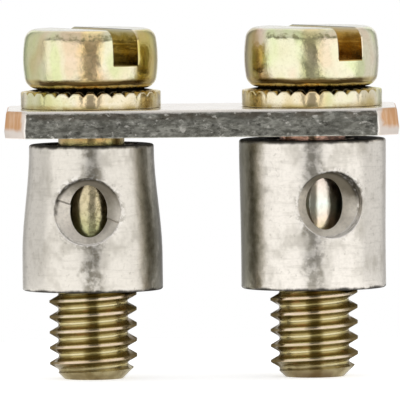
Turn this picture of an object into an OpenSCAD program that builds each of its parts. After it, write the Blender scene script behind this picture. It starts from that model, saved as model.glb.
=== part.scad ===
// Two-pole terminal cross connector: a plated copper link bar carried by two
// slotted thin-shank M4 screws, each with a toothed lock washer above the bar
// and a contact sleeve below it.
// +Z is up, the screw tips stand on Z = 0, X runs along the bar, and the
// drilled side of the sleeves faces -Y.

/* [Link bar] */
// Distance between the two screw axes
pole_pitch = 10; // [9:0.1:14]
// Distance from a screw axis to the end of the bar
bar_end = 3.9; // [3.5:0.05:6]
// Width of the bar from front to back
bar_w = 7; // [6.5:0.1:10]
// Thickness of the bar
bar_t = 1.25; // [0.8:0.05:2]
// Leg of the clipped corners
corner_clip = 0.9; // [0.3:0.1:1.5]
// Play of a screw's thread in the bar's hole, across the diameter
bar_hole_play = 0.35; // [0.1:0.05:0.8]

/* [Screw head] */
// Largest diameter of the head, at half its height
head_d = 6.1; // [5:0.1:7]
// Height of the head
head_h = 2.7; // [2:0.05:3.5]
// Radius of the curve of the head's barrel-shaped side
head_side_r = 5.5; // [3:0.5:40]
// Rounding of the head's top edge
head_top_r = 0.55; // [0.1:0.05:0.7]
// Rounding of the head's foot
head_foot_r = 0.55; // [0.1:0.05:0.7]
// Width of the driver slot
slot_w = 1.3; // [0.8:0.1:1.6]
// Depth of the left screw's slot
left_slot_depth = 1.6; // [0.8:0.05:1.8]
// Depth of the right screw's slot
right_slot_depth = 1.45; // [0.8:0.05:1.8]
// Turn of the left screw's slot from the front, towards +X
left_slot_turn = 33; // [-90:1:90]
// Turn of the right screw's slot from the front, towards +X
right_slot_turn = 36; // [-90:1:90]

/* [Screw shank and thread] */
// Length of a screw below its head
screw_l = 13.15; // [12:0.05:18]
// Diameter of the thin shank between the head and the thread
shank_d = 3; // [2.4:0.1:3.2]
// Outside diameter of the thread
thread_d = 3.95; // [3.8:0.05:4.2]
// Rise of the thread in one turn
thread_pitch = 0.7; // [0.6:0.05:0.8]
// Depth of the thread groove
thread_depth = 0.4; // [0.2:0.05:0.45]
// Angle between the flanks of the groove
thread_angle = 60; // [50:1:60]
// Flat left on the thread's crest
thread_crest = 0.1; // [0.08:0.01:0.16]
// Length of the full thread, tip included
thread_l = 4.1; // [3:0.1:6]
// Leg of the tip's chamfer
tip_chamfer = 0.65; // [0.3:0.05:0.8]

/* [Lock washers] */
// Outside diameter of a washer
washer_d = 6.35; // [5.6:0.05:7]
// Play of a screw's thread in the washer's hole, across the diameter
washer_hole_play = 0.25; // [0.1:0.05:0.5]
// Sheet thickness of a washer
washer_t = 0.75; // [0.4:0.05:0.8]
// Rise of the dished washer from its rim to its hole
washer_dish = 0.13; // [0.1:0.01:0.4]
// Number of teeth pressed in the upper face
washer_teeth = 30; // [12:1:32]
// Width of the notch between two teeth
notch_w = 0.38; // [0.2:0.02:0.4]
// Depth of the notch between two teeth
notch_depth = 0.17; // [0.05:0.01:0.25]

/* [Sleeves] */
// Play of a screw's thread in a sleeve's bore, across the diameter
sleeve_bore_play = 0.25; // [0.1:0.05:0.5]
// Length of the left sleeve
left_sleeve_l = 6.6; // [5:0.05:8]
// Length of the right sleeve
right_sleeve_l = 6.75; // [5:0.05:8]
// Free gap between the left sleeve and the bar
left_sleeve_gap = 0.4; // [0.1:0.05:0.5]
// Free gap between the right sleeve and the bar
right_sleeve_gap = 0.25; // [0.1:0.05:0.5]
// Diameter of the left sleeve at its foot
left_foot_d = 6.35; // [5.6:0.05:7]
// Diameter of the left sleeve at its top
left_top_d = 5.65; // [5.4:0.05:7]
// Diameter of the right sleeve at its foot
right_foot_d = 6.55; // [5.6:0.05:7]
// Diameter of the right sleeve at its top
right_top_d = 6.65; // [5.4:0.05:7]
// Length over which a sleeve keeps its foot diameter
sleeve_skirt_l = 2.4; // [0.5:0.1:2.5]
// Length over which a sleeve keeps its top diameter
sleeve_neck_l = 1; // [0.5:0.1:2.2]
// Edge break at both ends of a sleeve
sleeve_edge = 0.12; // [0.05:0.01:0.25]

/* [Drilled wall of the sleeves] */
// Diameter of the drill
drill_d = 3; // [2:0.1:3.4]
// Point angle of the drill
drill_point = 118; // [90:1:140]
// Wall left between the drill's corner and the bore
drill_web = 0.2; // [0.05:0.05:0.5]
// Height of the left sleeve's hole above the middle of the sleeve
left_drill_rise = 0.35; // [-0.5:0.05:0.5]
// Height of the right sleeve's hole above the middle of the sleeve
right_drill_rise = 0.5; // [-0.5:0.05:0.5]
// Turn of the left sleeve's hole from the front, towards +X
left_drill_turn = -4; // [-60:1:60]
// Turn of the right sleeve's hole from the front, towards +X
right_drill_turn = 15; // [-60:1:60]

/* [Hidden] */

// Smoothness of round shapes, rounded edges and the thread
$fn = 96;
edge_steps = 6;
turn_steps = 24;

// How far a cutting shape stands out of the surface that it cuts
overcut = 1;
fine_overcut = 0.05;

// Colours of the finishes
tin_plate = [0.55, 0.55, 0.53];
yellow_zinc = [0.80, 0.73, 0.48];
dull_tin = [0.78, 0.76, 0.73];

// Holes that a screw's thread passes through
bar_hole_d = thread_d + bar_hole_play;
washer_hole_d = thread_d + washer_hole_play;
sleeve_bore_d = thread_d + sleeve_bore_play;

// The stack along a screw, from the head down
washer_h = washer_t + washer_dish;
bar_top_z = screw_l - washer_h;
bar_z = bar_top_z - bar_t;
left_sleeve_z = bar_z - left_sleeve_gap - left_sleeve_l;
right_sleeve_z = bar_z - right_sleeve_gap - right_sleeve_l;

left_x = -pole_pitch / 2;
right_x = pole_pitch / 2;

// Points of an arc about a centre, from one angle to another
function arc(centre, r, from, to) = [
    for (i = [0 : edge_steps])
        let (a = from + (to - from) * i / edge_steps)
        centre + r * [cos(a), sin(a)]
];

// Link bar: a flat strip with clipped corners and two clearance holes
module link_bar_outline() {
    end_x = right_x + bar_end;
    side_y = bar_w / 2;
    polygon([
        for (s = [[1, 1], [-1, 1], [-1, -1], [1, -1]])
            let (
                on_end = [s.x * end_x, s.y * (side_y - corner_clip)],
                on_side = [s.x * (end_x - corner_clip), s.y * side_y]
            )
            each s.x * s.y > 0 ? [on_end, on_side] : [on_side, on_end]
    ]);
}

module link_bar() {
    color(tin_plate)
    translate([0, 0, bar_z])
    difference() {
        linear_extrude(bar_t) link_bar_outline();
        for (x = [left_x, right_x])
            translate([x, 0, -overcut])
                cylinder(d = bar_hole_d, h = bar_t + 2 * overcut);
    }
}

// Screw: a turned blank, from its tip to the rounded top of its head
module screw_blank() {
    thread_r = thread_d / 2;
    shank_r = shank_d / 2;
    head_r = head_d / 2;
    runout = thread_r - shank_r;
    foot_z = screw_l + head_foot_r;
    side_z = screw_l + head_h / 2;
    top_z = screw_l + head_h - head_top_r;
    foot_lean = asin((side_z - foot_z) / (head_side_r - head_foot_r));
    top_lean = asin((top_z - side_z) / (head_side_r - head_top_r));
    side_centre = [head_r - head_side_r, side_z];
    foot_centre = side_centre + (head_side_r - head_foot_r) * [cos(foot_lean), -sin(foot_lean)];
    top_centre = side_centre + (head_side_r - head_top_r) * [cos(top_lean), sin(top_lean)];
    head_side = arc(side_centre, head_side_r, -foot_lean, top_lean);
    rotate_extrude()
        polygon(concat(
            [
                [0, 0],
                [thread_r - tip_chamfer, 0],
                [thread_r, tip_chamfer],
                [thread_r, thread_l],
                [shank_r, thread_l + runout],
                [shank_r, screw_l]
            ],
            arc(foot_centre, head_foot_r, -90, -foot_lean),
            [for (i = [1 : edge_steps - 1]) head_side[i]],
            arc(top_centre, head_top_r, top_lean, 90),
            [[0, screw_l + head_h]]
        ));
}

// Section of the thread groove, as radius and height about its middle
function groove_section() =
    let (
        thread_r = thread_d / 2,
        root_r = thread_r - thread_depth,
        mouth_r = thread_r + fine_overcut,
        flank_slope = tan(thread_angle / 2),
        thread_w = (thread_pitch - thread_crest) / 2,
        root_w = thread_w - thread_depth * flank_slope,
        mouth_w = thread_w + fine_overcut * flank_slope
    )
    [[root_r, -root_w], [mouth_r, -mouth_w], [mouth_r, mouth_w], [root_r, root_w]];

// The section's points at one step of the right-hand turn
function groove_ring(step, start_z) =
    let (
        angle = 360 * step / turn_steps,
        z = start_z + thread_pitch * step / turn_steps
    )
    [for (p = groove_section()) [p.x * cos(angle), p.x * sin(angle), z + p.y]];

// The groove runs in from below the tip and out over the thin shank
module thread_groove() {
    start_z = -thread_pitch;
    end_z = thread_l + thread_depth + thread_pitch;
    steps = ceil((end_z - start_z) / thread_pitch * turn_steps);
    corners = len(groove_section());
    points = [for (i = [0 : steps]) each groove_ring(i, start_z)];
    walls = [
        for (i = [0 : steps - 1])
            for (k = [0 : corners - 1])
                let (next = (k + 1) % corners, here = corners * i, ahead = here + corners)
                [here + k, here + next, ahead + next, ahead + k]
    ];
    first_end = [for (k = [0 : corners - 1]) corners - 1 - k];
    last_end = [for (k = [0 : corners - 1]) corners * steps + k];
    polyhedron(points, concat([first_end], walls, [last_end]));
}

module screw(slot_turn, slot_depth) {
    color(yellow_zinc)
    difference() {
        screw_blank();
        thread_groove();
        rotate([0, 0, slot_turn])
            translate([-slot_w / 2, -head_d, screw_l + head_h - slot_depth])
                cube([slot_w, 2 * head_d, slot_depth + overcut]);
    }
}

module left_screw() {
    translate([left_x, 0, 0]) screw(left_slot_turn, left_slot_depth);
}

module right_screw() {
    translate([right_x, 0, 0]) screw(right_slot_turn, right_slot_depth);
}

// Lock washer: a dished ring with V notches pressed across its upper face
module washer_blank() {
    rotate_extrude()
        polygon([
            [washer_d / 2, 0],
            [washer_d / 2, washer_t],
            [washer_hole_d / 2, washer_h],
            [washer_hole_d / 2, washer_dish]
        ]);
}

module washer_notch() {
    face_w = (washer_d - washer_hole_d) / 2;
    face_lean = atan(washer_dish / face_w);
    notch_l = face_w / cos(face_lean) + 2 * fine_overcut;
    mouth_w = notch_w * (notch_depth + fine_overcut) / notch_depth;
    translate([washer_d / 2, 0, washer_t])
        rotate([0, face_lean, 0])
            rotate([90, 0, -90])
                translate([0, 0, -fine_overcut])
                    linear_extrude(notch_l)
                        polygon([
                            [0, -notch_depth],
                            [mouth_w / 2, fine_overcut],
                            [-mouth_w / 2, fine_overcut]
                        ]);
}

module lock_washer() {
    color(yellow_zinc)
    difference() {
        washer_blank();
        for (i = [0 : washer_teeth - 1])
            rotate([0, 0, i * 360 / washer_teeth]) washer_notch();
    }
}

module left_lock_washer() {
    translate([left_x, 0, bar_top_z]) lock_washer();
}

module right_lock_washer() {
    translate([right_x, 0, bar_top_z]) lock_washer();
}

// Sleeve: a turned tube whose wall is drilled from one side until the drill's
// point breaks into the bore
module sleeve_blank(l, foot_d, top_d) {
    foot_r = foot_d / 2;
    top_r = top_d / 2;
    bore_r = sleeve_bore_d / 2;
    rotate_extrude()
        polygon([
            [bore_r, 0],
            [foot_r - sleeve_edge, 0],
            [foot_r, sleeve_edge],
            [foot_r, sleeve_skirt_l],
            [top_r, l - sleeve_neck_l],
            [top_r, l - sleeve_edge],
            [top_r - sleeve_edge, l],
            [bore_r, l]
        ]);
}

module drilled_hole(reach) {
    drill_r = drill_d / 2;
    corner = sleeve_bore_d / 2 + drill_web;
    point_l = drill_r / tan(drill_point / 2);
    translate([0, 0, corner]) cylinder(r = drill_r, h = reach);
    translate([0, 0, corner - point_l]) cylinder(r1 = 0, r2 = drill_r, h = point_l);
}

module sleeve(l, foot_d, top_d, drill_rise, drill_turn) {
    color(dull_tin)
    difference() {
        sleeve_blank(l, foot_d, top_d);
        translate([0, 0, l / 2 + drill_rise])
            rotate([90, 0, drill_turn])
                drilled_hole(max(foot_d, top_d));
    }
}

module left_sleeve() {
    translate([left_x, 0, left_sleeve_z])
        sleeve(left_sleeve_l, left_foot_d, left_top_d, left_drill_rise, left_drill_turn);
}

module right_sleeve() {
    translate([right_x, 0, right_sleeve_z])
        sleeve(right_sleeve_l, right_foot_d, right_top_d, right_drill_rise, right_drill_turn);
}

link_bar();
left_screw();
right_screw();
left_lock_washer();
right_lock_washer();
left_sleeve();
right_sleeve();
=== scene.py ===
import math
from types import SimpleNamespace
import bpy
from mathutils import Matrix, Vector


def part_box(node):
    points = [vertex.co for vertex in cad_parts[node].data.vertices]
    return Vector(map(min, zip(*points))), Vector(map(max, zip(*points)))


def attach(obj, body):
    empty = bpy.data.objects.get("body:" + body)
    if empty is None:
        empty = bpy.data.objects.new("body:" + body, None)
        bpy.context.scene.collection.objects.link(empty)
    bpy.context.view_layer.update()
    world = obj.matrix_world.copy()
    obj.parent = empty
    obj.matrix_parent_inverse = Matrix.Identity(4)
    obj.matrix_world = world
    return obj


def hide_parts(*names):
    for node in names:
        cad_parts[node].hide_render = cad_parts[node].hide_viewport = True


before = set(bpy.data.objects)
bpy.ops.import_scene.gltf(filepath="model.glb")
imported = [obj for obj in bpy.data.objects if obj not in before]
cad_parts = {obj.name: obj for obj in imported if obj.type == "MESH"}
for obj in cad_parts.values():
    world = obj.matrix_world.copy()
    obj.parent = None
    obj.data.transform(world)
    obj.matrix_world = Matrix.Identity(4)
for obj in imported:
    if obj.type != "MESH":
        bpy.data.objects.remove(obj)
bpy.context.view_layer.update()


# Link bar. A copper strip, tinned on its rolled faces, that joins the two terminals.
# It is sheared to length with clipped corners, which bares the copper there, and it is
# punched with two clearance holes for the screws.
mm = 0.001
touching = 0.001 * mm
nearby = 0.01 * mm
cut_tolerance = 0.0001 * mm
bar_low, bar_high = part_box("link_bar")
bar_size = bar_high - bar_low
bar_clip = 0.9 * mm
bar_clip_margin = 1.05
bar_hole_radius = 2.15 * mm
bar_hole_sides = 96
bar_corner_round = 0.06 * mm
bar_top_round = 0.14 * mm
bar_foot_round = 0.04 * mm
shear_bulge_height = 0.27
shear_lean_top = 0.10 * mm
shear_lean_foot = 0.04 * mm
sheared_slant = 0.45
sides = ("left", "right")
pole_x = {side: sum(corner.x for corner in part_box(f"{side}_lock_washer")) / 2 for side in sides}


def enter_edit():
    """Opens the active piece in edit mode."""
    bpy.ops.object.mode_set(mode="EDIT")


def leave_edit():
    """Goes back to object mode."""
    bpy.ops.object.mode_set(mode="OBJECT")


def deselect():
    """Deselects every object, so that an operator acts on new work alone."""
    bpy.ops.object.select_all(action="DESELECT")


def hold(piece):
    """Leaves edit mode and makes one piece the only selected and active object."""
    if bpy.context.mode != "OBJECT":
        leave_edit()
    deselect()
    piece.select_set(True)
    bpy.context.view_layer.objects.active = piece


def name_new_piece(name):
    """Names the primitive just added and puts its place and size into its mesh."""
    piece = bpy.context.object
    piece.name = name
    piece.data.name = name
    bpy.ops.object.transform_apply(location=True, rotation=True, scale=True)
    return piece


def clear_picks(piece, kind):
    """Deselects all vertices, edges or faces of a piece, so that code can pick some."""
    hold(piece)
    enter_edit()
    bpy.ops.mesh.select_mode(type=kind)
    bpy.ops.mesh.select_all(action="DESELECT")
    leave_edit()


def pick_vertices(piece, wanted):
    """Opens a piece in edit mode with the vertices selected whose place passes a test."""
    clear_picks(piece, "VERT")
    for vertex in piece.data.vertices:
        vertex.select = bool(wanted(vertex.co))
    enter_edit()


def pick_edges(piece, wanted):
    """Opens a piece in edit mode with the edges selected whose two ends pass a test."""
    clear_picks(piece, "EDGE")
    for edge in piece.data.edges:
        ends = [piece.data.vertices[index].co for index in edge.vertices]
        edge.select = bool(wanted(*ends))
    enter_edit()


def pick_faces(piece, wanted):
    """Opens a piece in edit mode with the faces selected that pass a test."""
    clear_picks(piece, "FACE")
    for face in piece.data.polygons:
        face.select = bool(wanted(face))
    enter_edit()


def pick_all():
    """Selects everything in the open piece."""
    bpy.ops.mesh.select_all(action="SELECT")


def bevel_picked(width, segments):
    """Bevels the picked edges, flat with one segment and round with more."""
    bpy.ops.mesh.bevel(offset=width, offset_type="OFFSET", segments=segments, affect="EDGES")


def apply_modifier(piece, kind, **settings):
    """Adds a modifier with its settings and applies it."""
    hold(piece)
    modifier = piece.modifiers.new(kind.title(), kind)
    for name, value in settings.items():
        setattr(modifier, name, value)
    bpy.ops.object.modifier_apply(modifier=modifier.name)


def cut_with(piece, cutter, operation="DIFFERENCE"):
    """Cuts, joins or limits a piece with another shape, which is used up."""
    apply_modifier(piece, "BOOLEAN", operation=operation, solver="EXACT", object=cutter)
    bpy.data.objects.remove(cutter)


def smooth_below(piece, angle_deg):
    """Shades a piece smooth, with edges sharper than the angle left crisp."""
    hold(piece)
    bpy.ops.object.shade_smooth_by_angle(angle=math.radians(angle_deg))


deselect()
bpy.ops.mesh.primitive_cube_add(size=1, location=(bar_low + bar_high) / 2, scale=bar_size)
link_bar = name_new_piece("tinned_link_bar")
pick_edges(link_bar, lambda a, b: abs(a.z - b.z) > bar_size.z / 2)
bevel_picked(bar_clip, 1)
pick_all()
bulge_z = bar_low.z + shear_bulge_height * bar_size.z
bpy.ops.mesh.bisect(plane_co=(0, 0, bulge_z), plane_no=(0, 0, 1), threshold=cut_tolerance)
clip_start_x = bar_high.x - bar_clip_margin * bar_clip
for way in (-1, 1):
    for edge_z, lean in ((bar_high.z, shear_lean_top), (bar_low.z, shear_lean_foot)):
        pick_vertices(link_bar, lambda v: v.x * way > clip_start_x and abs(v.z - edge_z) < touching)
        bpy.ops.transform.translate(value=(-way * lean, 0, 0))
pick_edges(link_bar, lambda a, b: abs(a.x - b.x) < 2 * shear_lean_top and abs(a.y - b.y) < touching)
bevel_picked(bar_corner_round, 3)
pick_edges(link_bar, lambda a, b: min(a.z, b.z) > bar_high.z - touching)
bevel_picked(bar_top_round, 5)
pick_edges(link_bar, lambda a, b: max(a.z, b.z) < bar_low.z + touching)
bevel_picked(bar_foot_round, 3)
leave_edit()
for side in sides:
    deselect()
    bpy.ops.mesh.primitive_cylinder_add(
        vertices=bar_hole_sides, radius=bar_hole_radius, depth=3 * bar_size.z,
        location=(pole_x[side], 0, (bar_low.z + bar_high.z) / 2))
    cut_with(link_bar, name_new_piece("bar_punch"))
apply_modifier(link_bar, "BEVEL", width=bar_foot_round, segments=2, limit_method="ANGLE",
               angle_limit=math.radians(60), harden_normals=False)
smooth_below(link_bar, 40)
apply_modifier(link_bar, "WEIGHTED_NORMAL", mode="FACE_AREA", weight=80, keep_sharp=True)


def add_node(kind, inputs, tree=None, **options):
    """Adds a shader node to a tree, or to that of its links, and feeds its inputs."""
    if tree is None:
        tree = next(value.id_data for value in inputs.values() if isinstance(value, bpy.types.NodeSocket))
    made = tree.nodes.new(f"ShaderNode{kind}")
    for name, value in options.items():
        setattr(made, name, value)
    for key, value in inputs.items():
        if isinstance(value, bpy.types.NodeSocket):
            tree.links.new(value, made.inputs[key])
        else:
            made.inputs[key].default_value = value
    return made


def maths(operation, first, second=0.0):
    """One sum on two values."""
    return add_node("Math", {0: first, 1: second}, operation=operation).outputs[0]


def times(first, *others):
    """Masks and shares multiplied together."""
    for other in others:
        first = maths("MULTIPLY", first, other)
    return first


def plus(first, second):
    """Two values added together."""
    return maths("ADD", first, second)


def either(first, second):
    """The greater of two masks."""
    return maths("MAXIMUM", first, second)


def soft_step(value, low, high):
    """Rises smoothly from 0 at the low value to 1 at the high one."""
    inputs = {"Value": value, "From Min": low, "From Max": high}
    return add_node("MapRange", inputs, interpolation_type="SMOOTHSTEP").outputs[0]


def blend(share, first, second):
    """Mixes two colours by a share from 0 to 1."""
    return add_node("Mix", {0: share, 6: first, 7: second}, data_type="RGBA").outputs[2]


def vector_maths(operation, first, second=(0, 0, 0)):
    """One sum on two places or colours."""
    return add_node("VectorMath", {0: first, 1: second}, operation=operation).outputs[0]


def stretch(place, scale):
    """Scales a place differently along X, Y and Z, so that marks become streaks."""
    return vector_maths("MULTIPLY", place, scale)


def noise(place, scale, detail=2.0, roughness=0.5):
    """Soft noise, mostly between 0.3 and 0.7."""
    inputs = {"Vector": place, "Scale": scale, "Detail": detail, "Roughness": roughness}
    return add_node("TexNoise", inputs).outputs[0]


def place_in_mm(tree, axis_x=0.0):
    """The place on the piece in millimetres, counted from a pole's axis."""
    spot = add_node("TexCoord", {}, tree)
    inputs = {"Vector": spot.outputs["Object"], "Location": (-axis_x / mm, 0, 0)}
    inputs["Scale"] = (1 / mm, 1 / mm, 1 / mm)
    return add_node("Mapping", inputs).outputs[0]


def surface_marks_group():
    """A node group that turns noise into a mask of separate marks, spots or streaks."""
    group = bpy.data.node_groups.new("surface_marks", "ShaderNodeTree")
    group.interface.new_socket("Place", in_out="INPUT", socket_type="NodeSocketVector")
    for name in ("Scale", "Low", "High"):
        group.interface.new_socket(name, in_out="INPUT", socket_type="NodeSocketFloat")
    group.interface.new_socket("Mask", in_out="OUTPUT", socket_type="NodeSocketFloat")
    given = group.nodes.new("NodeGroupInput").outputs
    grain = noise(given["Place"], given["Scale"], 3.0, 0.6)
    mask = soft_step(grain, given["Low"], given["High"])
    group.links.new(mask, group.nodes.new("NodeGroupOutput").inputs["Mask"])
    return group


surface_marks = surface_marks_group()


def marks(place, scale, low, high):
    """The mask of the marks group in a material."""
    inputs = {"Place": place, "Scale": scale, "Low": low, "High": high}
    return add_node("Group", inputs, node_tree=surface_marks).outputs["Mask"]


def new_metal(name, axis_x=0.0):
    """A metal material: itself, its shader and the place on its piece."""
    material = bpy.data.materials.new(name)
    material.use_nodes = True
    shader = material.node_tree.nodes["Principled BSDF"]
    shader.inputs["Metallic"].default_value = 1.0
    shader.inputs["Specular IOR Level"].default_value = 0.0
    return material, shader, place_in_mm(material.node_tree, axis_x)


def between(share, low, high):
    """A value that goes from low to high with a share from 0 to 1."""
    inputs = {"Value": share, "To Min": low, "To Max": high}
    return add_node("MapRange", inputs).outputs[0]


def finish_metal(shader, colour, roughness, height, depth, matte_share=None):
    """Feeds a metal's colour, roughness, fine relief (depth in metres) and a matte share for dirt,
    painted shade and painted light.
    """
    relief = add_node("Bump", {"Strength": 1.0, "Distance": depth, "Height": height}).outputs[0]
    feeds = {"Base Color": colour, "Roughness": roughness, "Normal": relief}
    if matte_share is not None:
        feeds["Metallic"] = between(matte_share, 1.0, 0.0)
    for name, socket in feeds.items():
        shader.id_data.links.new(socket, shader.inputs[name])


def dress(piece, material, body, node):
    """Gives a piece its material and says what it moves with and stands for."""
    piece.data.materials.clear()
    piece.data.materials.append(material)
    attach(piece, body)
    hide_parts(node)


tin_grey = (0.54, 0.53, 0.465, 1)
tin_dull = (0.17, 0.165, 0.135, 1)
tin_brown = (0.15, 0.115, 0.08, 1)
tin_scuffed = (0.90, 0.87, 0.79, 1)
tin_pit = (0.05, 0.045, 0.035, 1)
tin_rubbed_highlight = (0.92, 0.87, 0.81, 1)
tinned_copper, shader, place = new_metal("tinned_copper")
rolled = marks(stretch(place, (0.25, 1, 1)), 5.0, 0.42, 0.6)
grains = marks(stretch(place, (0.5, 1, 1)), 6.0, 0.4, 0.62)
patches = marks(stretch(place, (0.5, 1, 1)), 1.7, 0.42, 0.62)
scuffs = marks(stretch(place, (0.7, 1, 1)), 4.0, 0.58, 0.66)
pits = marks(stretch(place, (0.5, 1, 1)), 4.5, 0.6, 0.68)
split = add_node("SeparateXYZ", {0: place})
under_edge = soft_step(split.outputs["Z"], bar_high.z / mm - 0.55, bar_high.z / mm - 0.25)
browned = times(under_edge, marks(stretch(place, (0.4, 1, 1)), 1.5, 0.42, 0.56))
colour = blend(times(grains, 0.75), tin_grey, tin_dull)
colour = blend(times(patches, 0.5), colour, tin_dull)
colour = blend(times(browned, 0.65), colour, tin_brown)
colour = blend(times(scuffs, 0.85), colour, tin_scuffed)
colour = blend(times(pits, 0.7), colour, tin_pit)
# A pale line along the top edge and the clipped corners: rubbed tin, painted brighter as a highlight of
# the light from above.
top_edge_z = (bar_high.z - bar_top_round) / mm
front_end_x = (bar_high.x - bar_clip) / mm
uneven = between(marks(place, 1.6, 0.3, 0.7), -0.03, 0.03)
from_top = plus(split.outputs["Z"], uneven)
from_end = plus(maths("ABSOLUTE", split.outputs["X"]), uneven)
rubbed_and_highlit = either(soft_step(from_top, top_edge_z - 0.04, top_edge_z + 0.02),
                soft_step(from_end, front_end_x - 0.12, front_end_x - 0.05))
colour = blend(times(rubbed_and_highlit, 0.9), colour, tin_rubbed_highlight)
height = plus(rolled, grains)
finish_metal(shader, colour, between(rolled, 0.2, 0.3), height, 1.2e-6)
dress(link_bar, tinned_copper, "connector", "link_bar")

bare_copper = (0.70, 0.39, 0.20, 1)
bare_copper_pale = (0.80, 0.54, 0.35, 1)
tin_smear = (0.84, 0.77, 0.71, 1)
smear_height = 0.22
sheared_copper, shader, place = new_metal("sheared_copper")
split = add_node("SeparateXYZ", {0: place})
ragged = marks(place, 0.7, 0.3, 0.7)
smear_low_z = (bar_low.z + smear_height * bar_size.z) / mm
smear_edge = between(ragged, smear_low_z, smear_low_z + 0.2)
below_edge = maths("SUBTRACT", smear_edge, split.outputs["Z"])
striations = marks(stretch(place, (5, 5, 0.6)), 1.0, 0.4, 0.65)
colour = blend(striations, bare_copper, bare_copper_pale)
from_front = maths("SUBTRACT", maths("ABSOLUTE", split.outputs["X"]), front_end_x)
from_front = plus(from_front, between(marks(place, 1.4, 0.3, 0.7), -0.08, 0.08))
smeared = either(soft_step(below_edge, -0.16, 0.12), soft_step(from_front, 0.24, 0.08))
colour = blend(times(smeared, 0.92), colour, tin_smear)
finish_metal(shader, colour, between(striations, 0.34, 0.46), striations, 2e-6)
link_bar.data.materials.append(sheared_copper)
link_bar.active_material_index = 1
pick_faces(link_bar, lambda f: abs(f.center.x) > clip_start_x and abs(f.normal.x) > sheared_slant)
bpy.ops.object.material_slot_assign()
leave_edit()


# Lock washers. Spring steel rings, slightly dished, with radial teeth pressed into the
# upper face, zinc plated with a yellow finish. Each lies loose between the bar and a head.
washer_low, washer_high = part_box("left_lock_washer")
washer_radius = (washer_high.x - washer_low.x) / 2
washer_hole_radius = 2.1 * mm
washer_thickness = 0.75 * mm
washer_dish = washer_high.z - washer_low.z - washer_thickness
washer_edge_round = 0.07 * mm
washer_teeth = 30
washer_steps_per_tooth = 12
notch_depth = 0.17 * mm
notch_share = 0.62
notch_curve = 1.25
same_turn = 0.02
start_dot = 0.1 * mm
merge_distance = 0.002 * mm


def arc(centre_r, centre_z, radius, from_deg, to_deg, steps):
    """Points of a round stretch of a half section, as radius and height."""
    turns = [math.radians(from_deg + (to_deg - from_deg) * i / steps) for i in range(steps + 1)]
    return [(centre_r + radius * math.cos(t), centre_z + radius * math.sin(t)) for t in turns]


def draw_section(name, section, lift=0.0):
    """Draws a half section point by point beside the Z axis and stays in edit mode."""
    deselect()
    first = (section[0][0], 0, section[0][1] + lift)
    bpy.ops.mesh.primitive_plane_add(size=start_dot, location=first)
    piece = name_new_piece(name)
    enter_edit()
    bpy.ops.mesh.select_mode(type="VERT")
    pick_all()
    bpy.ops.mesh.merge(type="CENTER")
    for here, there in zip(section, section[1:]):
        stroke = (there[0] - here[0], 0, there[1] - here[1])
        bpy.ops.mesh.extrude_region_move(TRANSFORM_OT_translate={"value": stroke})
    return piece


def spin_section(name, section, steps):
    """Draws a half section and spins it round the Z axis into a closed piece."""
    piece = draw_section(name, section)
    pick_all()
    bpy.ops.mesh.spin(steps=steps, angle=2 * math.pi, center=(0, 0, 0), axis=(0, 0, 1))
    pick_all()
    bpy.ops.mesh.remove_doubles(threshold=merge_distance)
    bpy.ops.mesh.normals_make_consistent(inside=False)
    leave_edit()
    return piece


def copy_to(piece, name, x, turn=0.0):
    """Copies a piece modelled on the Z axis to a pole, turned, with a mesh of its own."""
    twin = piece.copy()
    twin.data = piece.data.copy()
    twin.name = name
    twin.data.name = name
    bpy.context.collection.objects.link(twin)
    twin.location = (x, 0, 0)
    twin.rotation_euler = (0, 0, turn)
    hold(twin)
    bpy.ops.object.transform_apply(location=True, rotation=True, scale=True)
    return twin


def tooth_drop(share):
    """How far the upper face lies below a tooth's crest, by the share of the tooth pitch."""
    from_notch = abs(share - round(share)) / (notch_share / 2)
    return notch_depth * max(0.0, 1 - from_notch) ** notch_curve


rim_top_z = washer_low.z + washer_thickness
face_points = 6
washer_face = [
    (washer_hole_radius + (washer_radius - washer_edge_round - washer_hole_radius) * i / face_points,
     washer_high.z - washer_dish * i / face_points)
    for i in range(face_points + 1)
]
washer_section = [(washer_hole_radius, washer_low.z + washer_dish)]
washer_section += washer_face
washer_section += arc(washer_radius - washer_edge_round, rim_top_z - washer_edge_round,
                      washer_edge_round, 60, 0, 3)
washer_section += arc(washer_radius - washer_edge_round, washer_low.z + washer_edge_round,
                      washer_edge_round, 0, -90, 4)
washer_section += [washer_section[0]]
toothed_ring = spin_section("toothed_ring", washer_section, washer_teeth * washer_steps_per_tooth)
upper_face_z = rim_top_z - 2 * washer_edge_round
tooth_angle = 2 * math.pi / washer_teeth
for step in range(washer_steps_per_tooth):
    share = step / washer_steps_per_tooth

    def on_step(v):
        turn = math.atan2(v.y, v.x) / tooth_angle - share
        return v.z > upper_face_z and abs(turn - round(turn)) < same_turn

    if tooth_drop(share) > 0:
        pick_vertices(toothed_ring, on_step)
        bpy.ops.transform.translate(value=(0, 0, -tooth_drop(share)))
        leave_edit()
smooth_below(toothed_ring, 35)

film_colours = (
    (0.34, (0.66, 0.64, 0.33, 1)),
    (0.43, (0.80, 0.78, 0.52, 1)),
    (0.50, (0.86, 0.79, 0.60, 1)),
    (0.57, (0.82, 0.72, 0.50, 1)),
    (0.66, (0.68, 0.55, 0.28, 1)),
)
film_patch = (0.66, 0.56, 0.28, 1)
middle_reflection_tan = (1.0, 0.78, 0.46, 1)
film_foot = (0.48, 0.38, 0.15, 1)
film_speck = (0.34, 0.28, 0.11, 1)
gap_shade = (0.03, 0.022, 0.01, 1)
gap_radius = 2.7


def length_of(place):
    """How far a place lies from the origin."""
    return add_node("VectorMath", {0: place}, operation="LENGTH").outputs["Value"]


def colour_ramp(value, stops):
    """Colours by a value between 0 and 1."""
    ramp = add_node("ValToRGB", {0: value})
    while len(ramp.color_ramp.elements) < len(stops):
        ramp.color_ramp.elements.new(0.5)
    for element, (position, colour) in zip(ramp.color_ramp.elements, stops):
        element.position = position
        element.color = colour
    return ramp.outputs[0]


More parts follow.
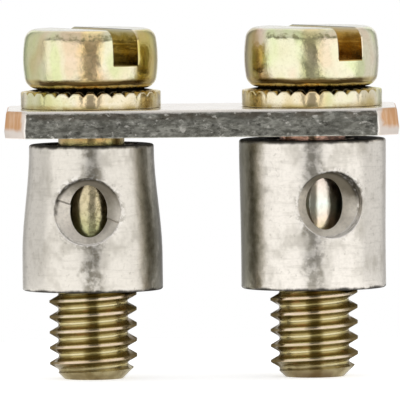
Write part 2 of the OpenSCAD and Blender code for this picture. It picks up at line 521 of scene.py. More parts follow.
def zinc_film_group():
    """A node group with the drifting green, cream and tan of a yellow passivated film."""
    group = bpy.data.node_groups.new("zinc_film", "ShaderNodeTree")
    group.interface.new_socket("Place", in_out="INPUT", socket_type="NodeSocketVector")
    group.interface.new_socket("Colour", in_out="OUTPUT", socket_type="NodeSocketColor")
    given = group.nodes.new("NodeGroupInput").outputs
    colour = colour_ramp(noise(given["Place"], 0.45), film_colours)
    patches = times(marks(given["Place"], 1.1, 0.52, 0.7), 0.6)
    colour = blend(patches, colour, film_patch)
    specks = times(marks(given["Place"], 9.0, 0.56, 0.7), 0.3)
    colour = blend(specks, colour, film_speck)
    group.links.new(colour, group.nodes.new("NodeGroupOutput").inputs["Colour"])
    return group


zinc_film = zinc_film_group()
washer_zinc, shader, place = new_metal("washer_zinc")
colour = add_node("Group", {"Place": place}, node_tree=zinc_film).outputs["Colour"]
from_pole = vector_maths("ABSOLUTE", place)
from_pole = vector_maths("SUBTRACT", from_pole, (pole_x["right"] / mm, 0, 0))
off_axis = add_node("SeparateXYZ", {0: from_pole}).outputs["X"]
# A tan strip down the middle, front and back: painted reflection of the dark gap before the camera, as on
# the heads.
in_middle = soft_step(maths("ABSOLUTE", off_axis), 0.8, 0.3)
colour = blend(times(in_middle, 0.8), colour, middle_reflection_tan)
washer_foot_z = washer_low.z / mm
height = add_node("SeparateXYZ", {0: place}).outputs["Z"]
at_foot = soft_step(height, washer_foot_z + 0.3, washer_foot_z + 0.06)
at_foot = times(at_foot, between(marks(place, 1.2, 0.4, 0.6), 0.3, 0.9))
colour = blend(at_foot, colour, film_foot)
# Black and matte inside the gap radius: painted shade in the gap under the head.
radius = length_of(stretch(from_pole, (1, 1, 0)))
matte_share = soft_step(radius, gap_radius + 0.1, gap_radius - 0.1)
colour = blend(matte_share, colour, gap_shade)
roughness = between(marks(place, 2.0, 0.4, 0.65), 0.14, 0.26)
finish_metal(shader, colour, roughness, marks(place, 7.0, 0.3, 0.7), 2e-6, matte_share)
for side in sides:
    washer = copy_to(toothed_ring, f"{side}_toothed_washer", pole_x[side])
    dress(washer, washer_zinc, "connector", f"{side}_lock_washer")
bpy.data.objects.remove(toothed_ring)


# Screws. Steel cheese-head screws with a rolled M4 thread on a thinner shank, zinc plated
# and passivated yellow. Each hangs loose through its washer, the bar and a sleeve, so that
# it turns by its slot.
head_top_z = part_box("left_screw")[1].z
head_foot_z = 13.15 * mm
head_radius = 3.05 * mm
head_side_radius = 5.5 * mm
head_columns = 68
head_foot_round = 0.55 * mm
head_top_round = 0.55 * mm
shank_radius = 1.5 * mm
thread_radius = 1.975 * mm
thread_pitch = 0.7 * mm
thread_depth = 0.4 * mm
thread_crest = 0.1 * mm
thread_crest_round = 0.02 * mm
thread_length = 4.1 * mm
thread_runout = thread_radius - shank_radius
thread_end_z = thread_length + thread_runout
thread_steps = 72
root_steps = 6
flank_shares = (0.35, 0.7)
crest_steps = 3
tip_sides = 96
tip_chamfer = 0.65 * mm
slot_width = 1.3 * mm
slot_burr_round = 0.05 * mm
slot_depth = {"left": 1.6 * mm, "right": 1.45 * mm}
slot_turn = {"left": math.radians(33), "right": math.radians(36)}
half_flank = math.radians(30)

groove_half = (thread_pitch - thread_crest) / 2
root_half = groove_half - thread_depth * math.tan(half_flank)
root_round = root_half / math.tan(half_flank)
root_radius = thread_radius - thread_depth
bend = math.pi / 2 - half_flank
groove_side = []
for i in range(root_steps + 1):
    lean = bend * i / root_steps
    groove_side.append((root_radius + root_round * (1 - math.cos(lean)), root_round * math.sin(lean)))
flank_r, flank_z = groove_side[-1]
for share in flank_shares:
    rise = (thread_radius - thread_crest_round - flank_r) * share
    groove_side.append((flank_r + rise, flank_z + rise * math.tan(half_flank)))
crest_side = []
for i in range(crest_steps + 1):
    lean = bend * (1 - i / crest_steps)
    crest_side.append((thread_radius - thread_crest_round * (1 - math.cos(lean)),
                       groove_half - thread_crest_round * (math.sin(lean) - math.tan(lean / 2))))
half_pitch = groove_side + crest_side
pitch_section = half_pitch + [(r, thread_pitch - z) for r, z in reversed(half_pitch)]

first_z = -2 * thread_pitch
threaded_rod = draw_section("threaded_rod", pitch_section, first_z)
leave_edit()
thread_turns = math.ceil((thread_end_z - first_z) / thread_pitch) + 3
apply_modifier(threaded_rod, "SCREW", axis="Z", angle=2 * math.pi, screw_offset=thread_pitch,
               iterations=thread_turns, steps=thread_steps, render_steps=thread_steps,
               use_merge_vertices=True, merge_threshold=merge_distance / 2)
hold(threaded_rod)
enter_edit()
pick_all()
bpy.ops.mesh.remove_doubles(threshold=merge_distance)
rod_foot_z = -0.5 * thread_pitch
rod_top_z = thread_end_z + thread_pitch
for cut_z, below in ((rod_foot_z, True), (rod_top_z, False)):
    pick_all()
    bpy.ops.mesh.bisect(plane_co=(0, 0, cut_z), plane_no=(0, 0, 1), use_fill=True,
                        clear_inner=below, clear_outer=not below, threshold=cut_tolerance)
pick_all()
bpy.ops.mesh.normals_make_consistent(inside=False)
leave_edit()

blank_over = 0.1 * mm
joint_inset = 0.02 * mm
blank_top_z = rod_top_z - 0.2 * thread_pitch
tip_blank = spin_section("tip_blank", [
    (0, 0),
    (thread_radius - tip_chamfer, 0),
    (thread_radius + blank_over, tip_chamfer + blank_over),
    (thread_radius + blank_over, thread_length - blank_over),
    (shank_radius - joint_inset, thread_end_z + joint_inset),
    (shank_radius - joint_inset, blank_top_z),
    (0, blank_top_z),
], tip_sides)
cut_with(threaded_rod, tip_blank, "INTERSECT")

shank_foot_z = thread_end_z + 0.3 * thread_pitch
side_r = head_radius - head_side_radius
side_z = (head_foot_z + head_top_z) / 2
foot_reach = head_side_radius - head_foot_round
foot_lean = math.asin((side_z - head_foot_z - head_foot_round) / foot_reach)
top_reach = head_side_radius - head_top_round
top_lean = math.asin((head_top_z - head_top_round - side_z) / top_reach)
headed_section = [(0, shank_foot_z), (shank_radius, shank_foot_z), (shank_radius, head_foot_z)]
headed_section += arc(side_r + foot_reach * math.cos(foot_lean), head_foot_z + head_foot_round,
                      head_foot_round, -90, -math.degrees(foot_lean), 10)
headed_section += arc(side_r, side_z, head_side_radius, -math.degrees(foot_lean),
                      math.degrees(top_lean), 8)[1:-1]
headed_section += arc(side_r + top_reach * math.cos(top_lean), head_top_z - head_top_round,
                      head_top_round, math.degrees(top_lean), 90, 10)
headed_section += [(0, head_top_z)]
headed_blank = spin_section("headed_blank", headed_section, head_columns)
pick_vertices(headed_blank, lambda v: v.z > head_top_z - touching
              and abs(v.x) + abs(v.y) < shank_radius)
bpy.ops.mesh.dissolve_verts()
leave_edit()

head_sheen = (
    (0.34, (0.90, 1.0, 0.82, 1)),
    (0.45, (0.99, 1.0, 0.98, 1)),
    (0.53, (1.0, 0.99, 1.0, 1)),
    (0.64, (1.0, 0.90, 0.91, 1)),
)
plain_white = (1, 1, 1, 1)
flank_shade_brown = (0.23, 0.16, 0.035, 1)
flank_rust = (0.42, 0.20, 0.07, 1)
root_yellow = (0.80, 0.68, 0.30, 1)
root_highlight_cream = (0.90, 0.82, 0.53, 1)
crest_pink = (0.64, 0.50, 0.39, 1)
thread_shade = (0.13, 0.094, 0.022, 1)
thread_edge_shade = (0.20, 0.14, 0.045, 1)
tip_olive = (0.50, 0.43, 0.24, 1)
tip_dark = (0.26, 0.20, 0.09, 1)
tip_shade_brown = (0.15, 0.085, 0.035, 1)
tip_shaded = {"left": 0.25, "right": 0.9}
foot_shade_line = (0.06, 0.03, 0.006, 1)
foot_reflection_gold = (0.62, 0.47, 0.16, 1)
brow_speck = (0.30, 0.28, 0.13, 1)
slot_floor_shade = {"left": (0.10, 0.07, 0.015, 1), "right": (0.34, 0.20, 0.04, 1)}
slot_brown = {"left": (0.36, 0.28, 0.07, 1), "right": (0.54, 0.36, 0.11, 1)}
slot_gold = {"left": (0.98, 0.84, 0.44, 1), "right": (0.98, 0.80, 0.40, 1)}
shank_speck_and_shade = (0.20, 0.16, 0.06, 1)
top_cream = (0.58, 0.56, 0.45, 1)
shank_speckled = {"left": 0.6, "right": 0.1}
shank_middle_shaded = {"left": 0.0, "right": 0.6}
shank_dullness = {"left": 0.05, "right": 0.03}
film_shift = {"left": (3.0, 0.0, 0.0), "right": (11.0, 4.0, 0.0)}
shank_bands = {
    "left": (
        (4.6, (0.62, 0.52, 0.26, 1)),
        (6.4, (0.50, 0.53, 0.24, 1)),
        (7.2, (0.58, 0.54, 0.29, 1)),
        (7.9, (0.67, 0.57, 0.37, 1)),
        (8.8, (0.62, 0.51, 0.32, 1)),
        (10.5, (0.42, 0.40, 0.13, 1)),
        (11.0, (0.62, 0.32, 0.10, 1)),
    ),
    "right": (
        (6.6, (0.80, 0.66, 0.36, 1)),
        (7.2, (1.0, 0.82, 0.66, 1)),
        (7.8, (0.92, 1.0, 0.94, 1)),
        (8.5, (1.0, 0.90, 0.82, 1)),
        (10.6, (0.66, 0.34, 0.26, 1)),
    ),
}
head_reflection_bands = {
    "left": (
        (-3.05, (0.58, 0.60, 0.28, 1)),
        (-2.40, (0.66, 0.68, 0.34, 1)),
        (-1.95, (0.82, 0.78, 0.53, 1)),
        (-0.55, (0.85, 0.75, 0.53, 1)),
        (-0.20, (1.0, 0.80, 0.36, 1)),
        (0.35, (1.0, 0.79, 0.38, 1)),
        (0.70, (0.88, 0.84, 0.62, 1)),
        (1.90, (0.90, 0.84, 0.62, 1)),
        (2.30, (0.60, 0.49, 0.06, 1)),
        (3.05, (0.50, 0.41, 0.05, 1)),
    ),
    "right": (
        (-3.05, (0.30, 0.22, 0.02, 1)),
        (-2.50, (0.34, 0.25, 0.02, 1)),
        (-2.25, (0.86, 0.66, 0.52, 1)),
        (-1.95, (0.88, 0.85, 0.62, 1)),
        (-0.55, (0.88, 0.85, 0.62, 1)),
        (-0.25, (0.80, 0.72, 0.40, 1)),
        (0.35, (0.82, 0.74, 0.42, 1)),
        (0.65, (0.90, 0.87, 0.62, 1)),
        (1.95, (0.92, 0.88, 0.66, 1)),
        (2.40, (0.84, 0.80, 0.60, 1)),
        (3.05, (0.90, 0.84, 0.66, 1)),
    ),
}
foot_mm = head_foot_z / mm
top_mm = head_top_z / mm
thread_mm = thread_radius / mm
root_mm = root_radius / mm
thread_end_mm = thread_end_z / mm


def band(value, rise_from, rise_to, fall_from, fall_to):
    """Rises from 0 to 1 between the first two limits and falls back between the last two."""
    rise = soft_step(value, rise_from, rise_to)
    return times(rise, soft_step(value, fall_to, fall_from))


def towards(place, way):
    """How far a place lies along a direction."""
    return add_node("VectorMath", {0: place, 1: way}, operation="DOT_PRODUCT").outputs["Value"]


def screw_spot(side, place):
    """Where a point of a screw lies, with a wander that keeps its edges uneven."""
    split = add_node("SeparateXYZ", {0: place})
    shifted = vector_maths("ADD", place, film_shift[side])
    drawn_out = stretch(shifted, (1, 1, 0.6))
    wander = between(noise(drawn_out, 1.1), -0.35, 0.35)
    wandering_x = plus(split.outputs["X"], wander)
    return SimpleNamespace(
        place=place, shifted=shifted, drawn_out=drawn_out, wander=wander,
        x=split.outputs["X"], wandering_x=wandering_x, height=split.outputs["Z"],
        off_middle=maths("ABSOLUTE", wandering_x),
        radius=length_of(stretch(place, (1, 1, 0))))


def head_film(side, spot, on_head, colour):
    """The film on a head: upright bands of painted reflection, a sheen, specks under the brow, and at the
    foot a painted gold reflection over a painted shade line.
    """
    head_width = 2 * head_radius / mm
    band_place = plus(maths("DIVIDE", spot.wandering_x, head_width), 0.5)
    # The bands are painted reflection: pale where the side panels shine, tan down the middle where the
    # dark gap before the camera is mirrored, darker on the sides that face the other head.
    reflection_bands = colour_ramp(band_place, [(x / head_width + 0.5, tint) for x, tint in head_reflection_bands[side]])
    colour = blend(times(on_head, 0.72), colour, reflection_bands)
    sheen = colour_ramp(noise(spot.drawn_out, 0.9, 1.0), head_sheen)
    colour = vector_maths("MULTIPLY", colour, blend(on_head, plain_white, sheen))
    brow = band(spot.height, top_mm - 0.55, top_mm - 0.42, top_mm - 0.25, top_mm - 0.1)
    brow = times(brow, marks(spot.shifted, 3.4, 0.44, 0.64), soft_step(spot.off_middle, 2.3, 1.8))
    colour = blend(times(brow, 0.8), colour, brow_speck)
    # Stains, denser down the middle, where they speckle the painted reflection.
    stains = times(on_head, marks(spot.shifted, 5.0, 0.46, 0.66))
    stains = times(stains, between(soft_step(spot.off_middle, 0.8, 0.2), 0.1, 0.27))
    colour = blend(stains, colour, brow_speck)
    # The foot's rounding: a painted gold reflection of the washer, over a painted shade line where the
    # head meets it.
    foot_height = plus(spot.height, times(spot.wander, 0.25))
    outside = times(on_head, soft_step(spot.radius, 2.2, 2.4))
    reflection_zone = times(outside, soft_step(foot_height, foot_mm + 0.55, foot_mm + 0.35))
    colour = blend(times(reflection_zone, 0.8), colour, foot_reflection_gold)
    shade_line_zone = band(foot_height, foot_mm + 0.16, foot_mm + 0.24, foot_mm + 0.36, foot_mm + 0.52)
    shade_line_zone = times(shade_line_zone, soft_step(spot.off_middle, 2.75, 2.2), outside)
    colour = blend(times(shade_line_zone, 0.95), colour, foot_shade_line)
    on_top = soft_step(spot.height, top_mm - 0.06, top_mm - 0.01)
    return blend(times(on_top, 0.9), colour, top_cream)


def shank_film(side, spot, on_shank, colour):
    """The film on a shank: tinted lengths, specks that are denser on one side as painted shade, a painted
    shade stripe, and painted shade where the bar hides it.
    """
    stops = [(z / foot_mm, tint) for z, tint in shank_bands[side]]
    along = maths("DIVIDE", plus(spot.height, spot.wander), foot_mm)
    colour = blend(times(on_shank, 0.85), colour, colour_ramp(along, stops))
    # Specks, denser on the +X side, where they also paint shade.
    specks = times(on_shank, marks(spot.shifted, 4.0, 0.46, 0.6))
    specks = times(specks, between(soft_step(spot.x, -0.5, 0.2), 0.4, 1.0))
    colour = blend(times(specks, shank_speckled[side]), colour, shank_speck_and_shade)
    # A dark stripe down the middle: painted shade.
    middle_shade = soft_step(maths("ABSOLUTE", spot.x), 0.25, 0.1)
    colour = blend(times(middle_shade, on_shank, shank_middle_shaded[side]), colour, shank_speck_and_shade)
    # Painted shade where the bar and washer hide the shank.
    hidden = times(on_shank, soft_step(spot.height, foot_mm - 1.0, foot_mm - 0.8))
    return blend(hidden, colour, gap_shade)


def thread_film(side, spot, in_thread, flank, outermost, colour):
    """The film on a thread: flanks in painted shade, yellow roots with a painted highlight, pale crests,
    painted shade at the middle, sides and edges, and an olive tip with painted shade below.
    """
    # Brown flanks: painted shade in the grooves, with rust patches.
    rusty = times(marks(spot.shifted, 1.3, 0.5, 0.68), 0.7)
    colour = blend(flank, colour, blend(rusty, flank_shade_brown, flank_rust))
    root = times(soft_step(spot.radius, root_mm + 0.085, root_mm + 0.025), in_thread)
    colour = blend(times(root, 0.7), colour, root_yellow)
    # A painted highlight in the roots, left and right of the middle.
    lit = times(band(spot.off_middle, 0.1, 0.45, 0.9, 1.4), in_thread)
    lit_root = times(soft_step(spot.radius, root_mm + 0.165, root_mm + 0.045), lit)
    colour = blend(times(lit_root, 0.7), colour, root_highlight_cream)
    crest = times(soft_step(spot.radius, thread_mm - 0.03, thread_mm - 0.007), in_thread)
    colour = blend(times(crest, 0.75), colour, crest_pink)
    shaded = either(soft_step(spot.off_middle, 0.45, 0.1), soft_step(spot.off_middle, 1.15, 1.6))
    colour = blend(times(shaded, in_thread, 0.6), colour, thread_shade)
    # Painted shade on the thread's outer edges.
    colour = blend(times(outermost, 0.8), colour, thread_edge_shade)
    tip_colour = blend(marks(spot.shifted, 1.2, 0.35, 0.65), tip_olive, tip_dark)
    # Painted shade at the bottom of the tip, strong on the right screw.
    under_tip = times(soft_step(spot.height, 0.5, 0.1), soft_step(spot.off_middle, 1.4, 0.5))
    tip_colour = blend(times(under_tip, tip_shaded[side]), tip_colour, tip_shade_brown)
    at_tip = soft_step(spot.height, tip_chamfer / mm, tip_chamfer / mm - 0.12)
    return blend(times(at_tip, 0.9), colour, tip_colour)


def slot_film(side, spot, colour):
    """The film in a slot: milled streaks, painted shade towards the floor and pale at the rim."""
    across = (math.cos(slot_turn[side]), math.sin(slot_turn[side]), 0)
    off_centre = maths("ABSOLUTE", towards(spot.place, across))
    wall = slot_width / 2 / mm
    floor_z = (head_top_z - slot_depth[side]) / mm
    in_slot = times(soft_step(off_centre, wall + 0.015, wall - 0.005),
                    soft_step(spot.height, floor_z - 0.06, floor_z - 0.03))
    milled = marks(stretch(spot.place, (0.3, 0.3, 4)), 1.0, 0.48, 0.62)
    slot_colour = blend(milled, slot_brown[side], slot_gold[side])
    near_floor = soft_step(spot.height, floor_z + 0.75, floor_z)
    slot_colour = blend(times(near_floor, 0.7), slot_colour, slot_floor_shade[side])
    near_rim = soft_step(spot.height, top_mm - 0.2, top_mm)
    slot_colour = blend(times(near_rim, 0.8), slot_colour, top_cream)
    return blend(in_slot, colour, slot_colour)


def screw_zinc(side):
    """The zinc of one screw, with its film from head to tip, its shine and its fine waves."""
    material, shader, place = new_metal(f"{side}_screw_zinc", pole_x[side])
    spot = screw_spot(side, place)
    on_head = soft_step(spot.height, foot_mm - 0.02, foot_mm + 0.02)
    above_thread = soft_step(spot.height, thread_end_mm - 0.075, thread_end_mm + 0.125)
    on_shank = maths("SUBTRACT", above_thread, on_head)
    in_thread = soft_step(spot.height, thread_end_mm + 0.075, thread_end_mm - 0.125)
    flank = times(soft_step(spot.radius, thread_mm - 0.02, thread_mm - 0.095), in_thread)
    outermost = times(in_thread, soft_step(spot.off_middle, 1.4, 1.75))
    colour = add_node("Group", {"Place": spot.shifted}, node_tree=zinc_film).outputs["Colour"]
    colour = head_film(side, spot, on_head, colour)
    colour = shank_film(side, spot, on_shank, colour)
    colour = thread_film(side, spot, in_thread, flank, outermost, colour)
    colour = slot_film(side, spot, colour)
    roughness = between(marks(place, 1.7, 0.4, 0.65), 0.13, 0.22)
    roughness = times(roughness, between(in_thread, 1.0, 0.9))
    roughness = plus(roughness, times(on_shank, shank_dullness[side]))
    waves = times(noise(spot.shifted, 1.1), between(in_thread, 20.0, 3.0))
    relief = plus(marks(place, 7.0, 0.3, 0.7), waves)
    # Matte on the flanks and on the outer edges: painted shade that keeps them from shining.
    matte_share = either(times(flank, 0.3), times(outermost, 0.95))
    finish_metal(shader, colour, roughness, relief, 2e-6, matte_share)
    return material


for side in sides:
    screw = copy_to(headed_blank, f"{side}_slotted_screw", pole_x[side], slot_turn[side] - math.pi / 2)
    deselect()
    bpy.ops.mesh.primitive_cube_add(
        size=1, location=(pole_x[side], 0, head_top_z),
        rotation=(0, 0, slot_turn[side]),
        scale=(slot_width, 4 * head_radius, 2 * slot_depth[side]))
    cut_with(screw, name_new_piece("slot_cutter"))
    slot_floor_z = head_top_z - slot_depth[side]
    across = (math.cos(slot_turn[side]), math.sin(slot_turn[side]))

    def on_slot_wall(v):
        off_middle = (v.x - pole_x[side]) * across[0] + v.y * across[1]
        on_wall = abs(abs(off_middle) - slot_width / 2) < touching
        return on_wall and v.z > slot_floor_z - touching

    pick_edges(screw, lambda a, b: on_slot_wall(a) and on_slot_wall(b)
               and max(a.z, b.z) > slot_floor_z + nearby)
    bevel_picked(slot_burr_round, 2)
    leave_edit()
    cut_with(screw, copy_to(threaded_rod, "threaded_end", pole_x[side]), "UNION")
    smooth_below(screw, 32)
    dress(screw, screw_zinc(side), f"{side}_screw", f"{side}_screw")
bpy.data.objects.remove(headed_blank)
bpy.data.objects.remove(threaded_rod)


# Sleeves. Turned brass tubes, dull tinned, that hang loose on the shanks under the bar.
# Each wall is drilled from the front until the drill's point breaks into the bore, and on
# the left one the drill's two lips left a step each.
sleeve_bore_radius = 2.1 * mm
sleeve_edge = 0.12 * mm
sleeve_skirt = 2.4 * mm
sleeve_neck = 1.0 * mm
sleeve_ease = 0.85 * mm
sleeve_sides = 160
taper_points = 12
sleeve_foot_radius = {"left": 3.175 * mm, "right": 3.275 * mm}
sleeve_top_radius = {"left": 2.825 * mm, "right": 3.325 * mm}
drill_radius = 1.5 * mm
drill_corner = sleeve_bore_radius + 0.2 * mm
drill_point = math.radians(118)
drill_rise = {"left": 0.35 * mm, "right": 0.5 * mm}
drill_turn = {"left": math.radians(-4), "right": math.radians(15)}
drill_lip_step = {"left": 0.08 * mm, "right": 0 * mm}
drill_lip_start = math.radians(-20)
drill_sides = 96
lip_steps = drill_sides // 2
drill_mm = drill_radius / mm
inward = {"left": 1.0, "right": -1.0}
tin_pale = {"left": (0.78, 0.735, 0.66, 1), "right": (0.87, 0.82, 0.745, 1)}
tin_smudge = (0.50, 0.465, 0.40, 1)
tin_worn_and_lit = (0.94, 0.90, 0.85, 1)
tin_stain_and_shade = (0.235, 0.21, 0.16, 1)
tin_shade = {"left": (0.25, 0.23, 0.175, 1), "right": (0.27, 0.25, 0.17, 1)}
middle_shaded = {"left": 0.85, "right": 0.72}
tin_deep_shade = (0.10, 0.09, 0.06, 1)
deep_shaded = {"left": 0.7, "right": 0.5}
seat_pale = {"left": (0.90, 0.83, 0.73, 1), "right": (0.97, 0.89, 0.76, 1)}
upper_seat_shaded = {"left": 0.95, "right": 1.0}
seat_shaded = {"left": 0.75, "right": 0.4}
seat_shaded_way = {"left": (1.0, 0.0, -0.3), "right": (0.5, 0.0, -0.85)}
upper_seat_shade_way = (0.25, 0.0, 0.97)
seat_shade_brown = (0.20, 0.175, 0.13, 1)
hole_dirt_and_shade = (0.05, 0.042, 0.03, 1)
dirty_and_shaded_way = {"left": (-0.3, 0.0, 0.95), "right": (0.15, 0.0, 0.98)}
end_dirt_and_shade = (0.035, 0.03, 0.025, 1)


def face_tin(side, place, smudges, drags, mottle, cloudy):
    """The tin on a sleeve's face: smudged, with painted reflection of the dark gap down its middle and
    painted shade on its inner side.
    """
    across = add_node("SeparateXYZ", {0: place}).outputs["X"]
    colour = blend(times(smudges, 0.7), tin_pale[side], tin_smudge)
    colour = blend(times(drags, 0.3), colour, tin_smudge)
    # Dark smudges down the middle: painted reflection of the dark gap before the camera.
    off_middle = plus(across, between(noise(place, 1.3, 3.0), -0.7, 0.7))
    middle = soft_step(maths("ABSOLUTE", off_middle), 0.6, 0.2)
    middle = times(middle, marks(place, 2.2, 0.36, 0.6))
    colour = blend(times(middle, middle_shaded[side]), colour, tin_stain_and_shade)
    colour = blend(times(mottle, 0.18), colour, tin_smudge)
    specks = marks(place, 4.0, 0.6, 0.74)
    colour = blend(times(specks, 0.3), colour, tin_stain_and_shade)
    inner_place = plus(times(across, inward[side]), between(cloudy, -0.6, 0.6))
    inner = soft_step(inner_place, 2.05, 2.9)
    colour = blend(times(inner, 0.9), colour, tin_shade[side])
    innermost = soft_step(inner_place, 2.6, 3.1)
    return blend(times(innermost, deep_shaded[side]), colour, tin_deep_shade)


def hole_spot(side, place, hole_z, cloudy):
    """Where a point lies by the drilled hole, and how far it belongs to the hole's seat."""
    drilled_way = (math.sin(drill_turn[side]), -math.cos(drill_turn[side]), 0)
    from_hole = vector_maths("SUBTRACT", place, (0, 0, hole_z))
    aside = length_of(vector_maths("CROSS_PRODUCT", from_hole, drilled_way))
    at_front = soft_step(towards(from_hole, drilled_way), 1.2, 1.7)
    ragged_aside = plus(aside, between(cloudy, -0.25, 0.25))
    seat = times(soft_step(ragged_aside, drill_mm + 0.08, drill_mm - 0.06), at_front)
    inside = soft_step(ragged_aside, drill_mm - 0.05, drill_mm - 0.55)
    return SimpleNamespace(
        place=from_hole, aside=aside, at_front=at_front, seat=seat, inside=inside)


def seat_tin(side, hole, mottle, cloudy, colour):
    """The tin in a drilled seat: pale, with painted shade towards one side and brown painted shade above.
    """
    uneven = between(cloudy, -0.5, 0.5)
    shaded = plus(towards(hole.place, seat_shaded_way[side]), uneven)
    shaded = times(soft_step(shaded, -1.4, 1.4), seat_shaded[side])
    shaded = times(shaded, between(hole.inside, 0.35, 1.2))
    seat_colour = blend(times(mottle, 0.35), seat_pale[side], tin_smudge)
    seat_colour = blend(shaded, seat_colour, tin_stain_and_shade)
    seat_share = times(hole.seat, between(hole.inside, 0.5, 0.9))
    colour = blend(seat_share, colour, seat_colour)
    # Painted brown shade in the upper seat.
    above_hole = plus(towards(hole.place, upper_seat_shade_way), uneven)
    above_hole = times(soft_step(above_hole, 0.0, 1.1), hole.seat, upper_seat_shaded[side])
    return blend(above_hole, colour, seat_shade_brown)


def rim_tin(side, place, hole, lower_wall, colour):
    """The tin along a hole's rim: dirt and painted shade on one side, a painted highlight on its lower
    wall, with a burr.
    """
    # Dirt and painted shade on the rim, towards one side.
    dirty_and_shaded = between(marks(place, 1.8, 0.3, 0.7), -0.4, 0.4)
    dirty_and_shaded = plus(towards(hole.place, dirty_and_shaded_way[side]), dirty_and_shaded)
    rim = band(hole.aside, drill_mm - 0.2, drill_mm - 0.05, drill_mm + 0.01, drill_mm + 0.07)
    rim = times(rim, hole.at_front, soft_step(dirty_and_shaded, 0.1, 1.1))
    colour = blend(times(rim, 0.9), colour, hole_dirt_and_shade)
    colour = blend(lower_wall, colour, tin_worn_and_lit)
    burr = band(hole.aside, drill_mm - 0.1, drill_mm, drill_mm + 0.1, drill_mm + 0.3)
    burr = times(burr, hole.at_front, 0.45, marks(place, 1.6, 0.4, 0.6))
    burr_colour = blend(marks(place, 4.5, 0.44, 0.56), tin_worn_and_lit, tin_stain_and_shade)
    return blend(burr, colour, burr_colour)


def sleeve_tin(side, foot_z, top_z, hole_z):
    """The dull tin of one sleeve: its face, its drilled hole and its dark ends, dirt and painted shade.
    """
    material, shader, place = new_metal(f"{side}_dull_tin", pole_x[side])
    height = add_node("SeparateXYZ", {0: place}).outputs["Z"]
    smudges = marks(stretch(place, (1, 1, 0.7)), 0.9, 0.46, 0.7)
    drags = marks(stretch(place, (0.7, 0.7, 5)), 1.2, 0.5, 0.7)
    mottle = marks(place, 6.0, 0.42, 0.66)
    cloudy = noise(place, 2.2, 6.0, 0.65)
    colour = face_tin(side, place, smudges, drags, mottle, cloudy)
    hole = hole_spot(side, place, hole_z, cloudy)
    colour = seat_tin(side, hole, mottle, cloudy, colour)
    # The hole's lower wall is painted pale and matte: a painted highlight.
    lower_wall = band(hole.aside, drill_mm - 0.06, drill_mm - 0.02, drill_mm + 0.01, drill_mm + 0.04)
    lower_wall = times(lower_wall, soft_step(height, hole_z - 0.2, hole_z - 0.8), hole.at_front)
    colour = rim_tin(side, place, hole, lower_wall, colour)

    # Both ends are dark: dirt, and painted shade where the top sits in the gap under the bar.
    ragged = between(marks(stretch(place, (1, 1, 0)), 1.5, 0.3, 0.7), -0.05, 0.05)
    end_height = plus(height, ragged)
    near_foot = soft_step(end_height, foot_z + 0.16, foot_z + 0.03)
    near_top = soft_step(end_height, top_z - 0.16, top_z - 0.01)
    at_end = times(either(near_foot, near_top), 0.92)
    colour = blend(at_end, colour, end_dirt_and_shade)
    wall = times(hole.seat, soft_step(hole.aside, drill_mm - 0.08, drill_mm - 0.02))
    chalky = plus(times(hole.seat, 0.45), times(wall, 0.5))
    matte_share = either(at_end, either(chalky, lower_wall))
    relief = plus(marks(place, 4.0, 0.3, 0.7), drags)
    relief = plus(relief, times(noise(place, 1.3, 1.0), 6.0))
    roughness = plus(between(smudges, 0.28, 0.40), between(hole.seat, 0.0, 0.08))
    finish_metal(shader, colour, roughness, relief, 2.5e-6, matte_share)
    return material


for side in sides:
    low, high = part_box(f"{side}_sleeve")
    foot_r = sleeve_foot_radius[side]
    top_r = sleeve_top_radius[side]
    section = [(sleeve_bore_radius, low.z)]
    section += arc(foot_r - sleeve_edge, low.z + sleeve_edge, sleeve_edge, -90, 0, 4)
    taper_start = low.z + sleeve_skirt - sleeve_ease
    taper_end = high.z - sleeve_neck + sleeve_ease
    for i in range(taper_points + 1):
        share = i / taper_points
        ease = share * share * (3 - 2 * share)
        taper_z = taper_start + (taper_end - taper_start) * share
        section.append((foot_r + (top_r - foot_r) * ease, taper_z))
    section += arc(top_r - sleeve_edge, high.z - sleeve_edge, sleeve_edge, 0, 90, 4)
    section += [(sleeve_bore_radius, high.z), section[0]]
    sleeve = spin_section(f"{side}_contact_sleeve", section, sleeve_sides)
    pick_vertices(sleeve, lambda v: True)
    bpy.ops.transform.translate(value=(pole_x[side], 0, 0))
    leave_edit()
    point_depth = drill_radius / math.tan(drill_point / 2)
    drill = spin_section("drill", [
        (0, drill_corner - point_depth),
        (drill_radius, drill_corner),
        (drill_radius, 3 * foot_r),
        (0, 3 * foot_r),
    ], drill_sides)
    for step in range(lip_steps if drill_lip_step[side] > 0 else 0):
        lip_angle = drill_lip_start + 2 * math.pi * (step + 0.5) / drill_sides

        def on_lip(v):
            turn = (math.atan2(v.y, v.x) - lip_angle) / math.pi
            at_corner = abs(v.z - drill_corner) < nearby
            at_corner = at_corner and math.hypot(v.x, v.y) > 0.5 * drill_radius
            return at_corner and abs(turn - round(turn)) < 0.5 / lip_steps

        pick_vertices(drill, on_lip)
        lip_rise = drill_lip_step[side] * (0.5 - step / lip_steps)
        bpy.ops.transform.translate(value=(0, 0, lip_rise))
        leave_edit()
    drill.rotation_euler = (math.pi / 2, 0, drill_turn[side])
    hole_z = (low.z + high.z) / 2 + drill_rise[side]
    drill.location = (pole_x[side], 0, hole_z)
    hold(drill)
    bpy.ops.object.transform_apply(location=True, rotation=True, scale=True)
    cut_with(sleeve, drill)
    smooth_below(sleeve, 32)
    tin = sleeve_tin(side, low.z / mm, high.z / mm, hole_z / mm)
    dress(sleeve, tin, "connector", f"{side}_sleeve")


# Floor. A small round white table that the screw tips stand on. It glows a little to the
# camera and in the metal, so that it is as white as the backdrop.
floor_radius = 30 * mm
floor_sides = 128
floor_white = (0.85, 0.85, 0.85, 1)
floor_glow = 0.6


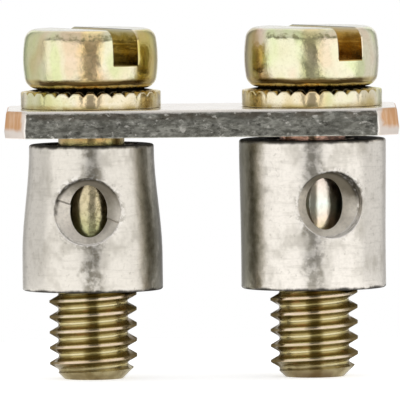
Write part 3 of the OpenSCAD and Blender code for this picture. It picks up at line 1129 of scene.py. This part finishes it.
def seen_directly_or_mirrored(tree):
    """Two masks: what the camera sees straight on, and what it sees in metal or glass."""
    path = add_node("LightPath", {}, tree)
    mirrored = either(path.outputs["Is Glossy Ray"], path.outputs["Is Transmission Ray"])
    return path.outputs["Is Camera Ray"], mirrored


deselect()
bpy.ops.mesh.primitive_circle_add(vertices=floor_sides, radius=floor_radius, fill_type="NGON")
floor = name_new_piece("white_table")
white_table = bpy.data.materials.new("white_table")
white_table.use_nodes = True
tree = white_table.node_tree
tree.nodes.clear()
straight, mirrored = seen_directly_or_mirrored(tree)
strength = times(either(straight, mirrored), floor_glow)
paper = add_node("BsdfDiffuse", {"Color": floor_white}, tree)
glow = add_node("Emission", {"Color": plain_white, "Strength": strength})
both = add_node("AddShader", {0: paper.outputs[0], 1: glow.outputs[0]})
add_node("OutputMaterial", {"Surface": both.outputs[0]})
floor.data.materials.append(white_table)


# Light. Two large soft panels stand left and right of the camera, with a dark gap between
# them where the camera looks through. Behind the object is a white backdrop.
backdrop_from = 160
backdrop_to = 168
room_levels = (
    (0, 0.31),
    (9, 0.31),
    (14, 0.23),
    (84, 0.22),
    (92, 0.75),
    (135, 0.75),
    (152, 0.40),
    (backdrop_from, 0.34),
    (backdrop_to, 1.0),
    (180, 1.0),
)
ceiling_level = (0.75, 0.75, 0.75, 1)
world = bpy.data.worlds.new("pale_room")
bpy.context.scene.world = world
world.use_nodes = True
tree = world.node_tree
tree.nodes.clear()
direction = add_node("TexCoord", {}, tree).outputs["Generated"]
split = add_node("SeparateXYZ", {0: direction})
turn = maths("ARCTAN2", split.outputs["X"], times(split.outputs["Y"], -1.0))
turn_share = maths("DIVIDE", maths("ABSOLUTE", turn), math.pi)
room_stops = [(angle / 180, (level, level, level, 1)) for angle, level in room_levels]
room = colour_ramp(turn_share, room_stops)
room = blend(soft_step(split.outputs["Z"], 0.2, 0.7), room, ceiling_level)
straight, mirrored = seen_directly_or_mirrored(tree)
behind = soft_step(turn_share, backdrop_from / 180, backdrop_to / 180)
white_share = either(straight, times(mirrored, behind))
colour = blend(white_share, room, plain_white)
backdrop = add_node("Background", {"Color": colour, "Strength": 1.0})
add_node("OutputWorld", {"Surface": backdrop.outputs[0]})

panel_distance = 350 * mm
panel_width = 520 * mm
panel_height = 290 * mm
panel_middle_z = 0 * mm
panel_turn = math.radians(49)
panel_radiance = 0.9
for way in (-1, 1):
    deselect()
    panel_x = way * panel_distance * math.sin(panel_turn)
    panel_y = -panel_distance * math.cos(panel_turn)
    bpy.ops.object.light_add(type="AREA", location=(panel_x, panel_y, panel_middle_z))
    panel = bpy.context.object
    panel.name = "soft_panel"
    panel.data.shape = "RECTANGLE"
    panel.data.size = panel_width
    panel.data.size_y = panel_height
    panel.data.energy = panel_radiance * math.pi * panel_width * panel_height
    panel.rotation_euler = (math.pi / 2, 0, way * panel_turn)
    panel.visible_camera = False


# Camera. It looks at the connector's front from a little above, from about 700 mm away,
# with a slight roll. Its lens is worked out from the scale that the picture has.
camera_distance = 700 * mm
camera_lift = math.radians(2.8)
camera_roll = math.radians(-0.6)
sensor_width = 36
photo_pixels = 400
pixels_per_mm = 22.1
look_at_x = -0.11 * mm
look_at_z = 8.03 * mm
camera_place = (
    look_at_x,
    -camera_distance * math.cos(camera_lift),
    look_at_z + camera_distance * math.sin(camera_lift),
)
camera_tilt = Matrix.Rotation(math.pi / 2 - camera_lift, 3, "X")
camera_turn = camera_tilt @ Matrix.Rotation(camera_roll, 3, "Z")
bpy.ops.object.camera_add(location=camera_place, rotation=camera_turn.to_euler())
camera = bpy.context.object
camera.data.sensor_width = sensor_width
camera.data.lens = sensor_width * camera_distance * pixels_per_mm / mm / photo_pixels
camera.data.clip_start = 10 * mm
camera.data.clip_end = 10
bpy.context.scene.camera = camera
bpy.context.scene.view_settings.view_transform = "Standard"
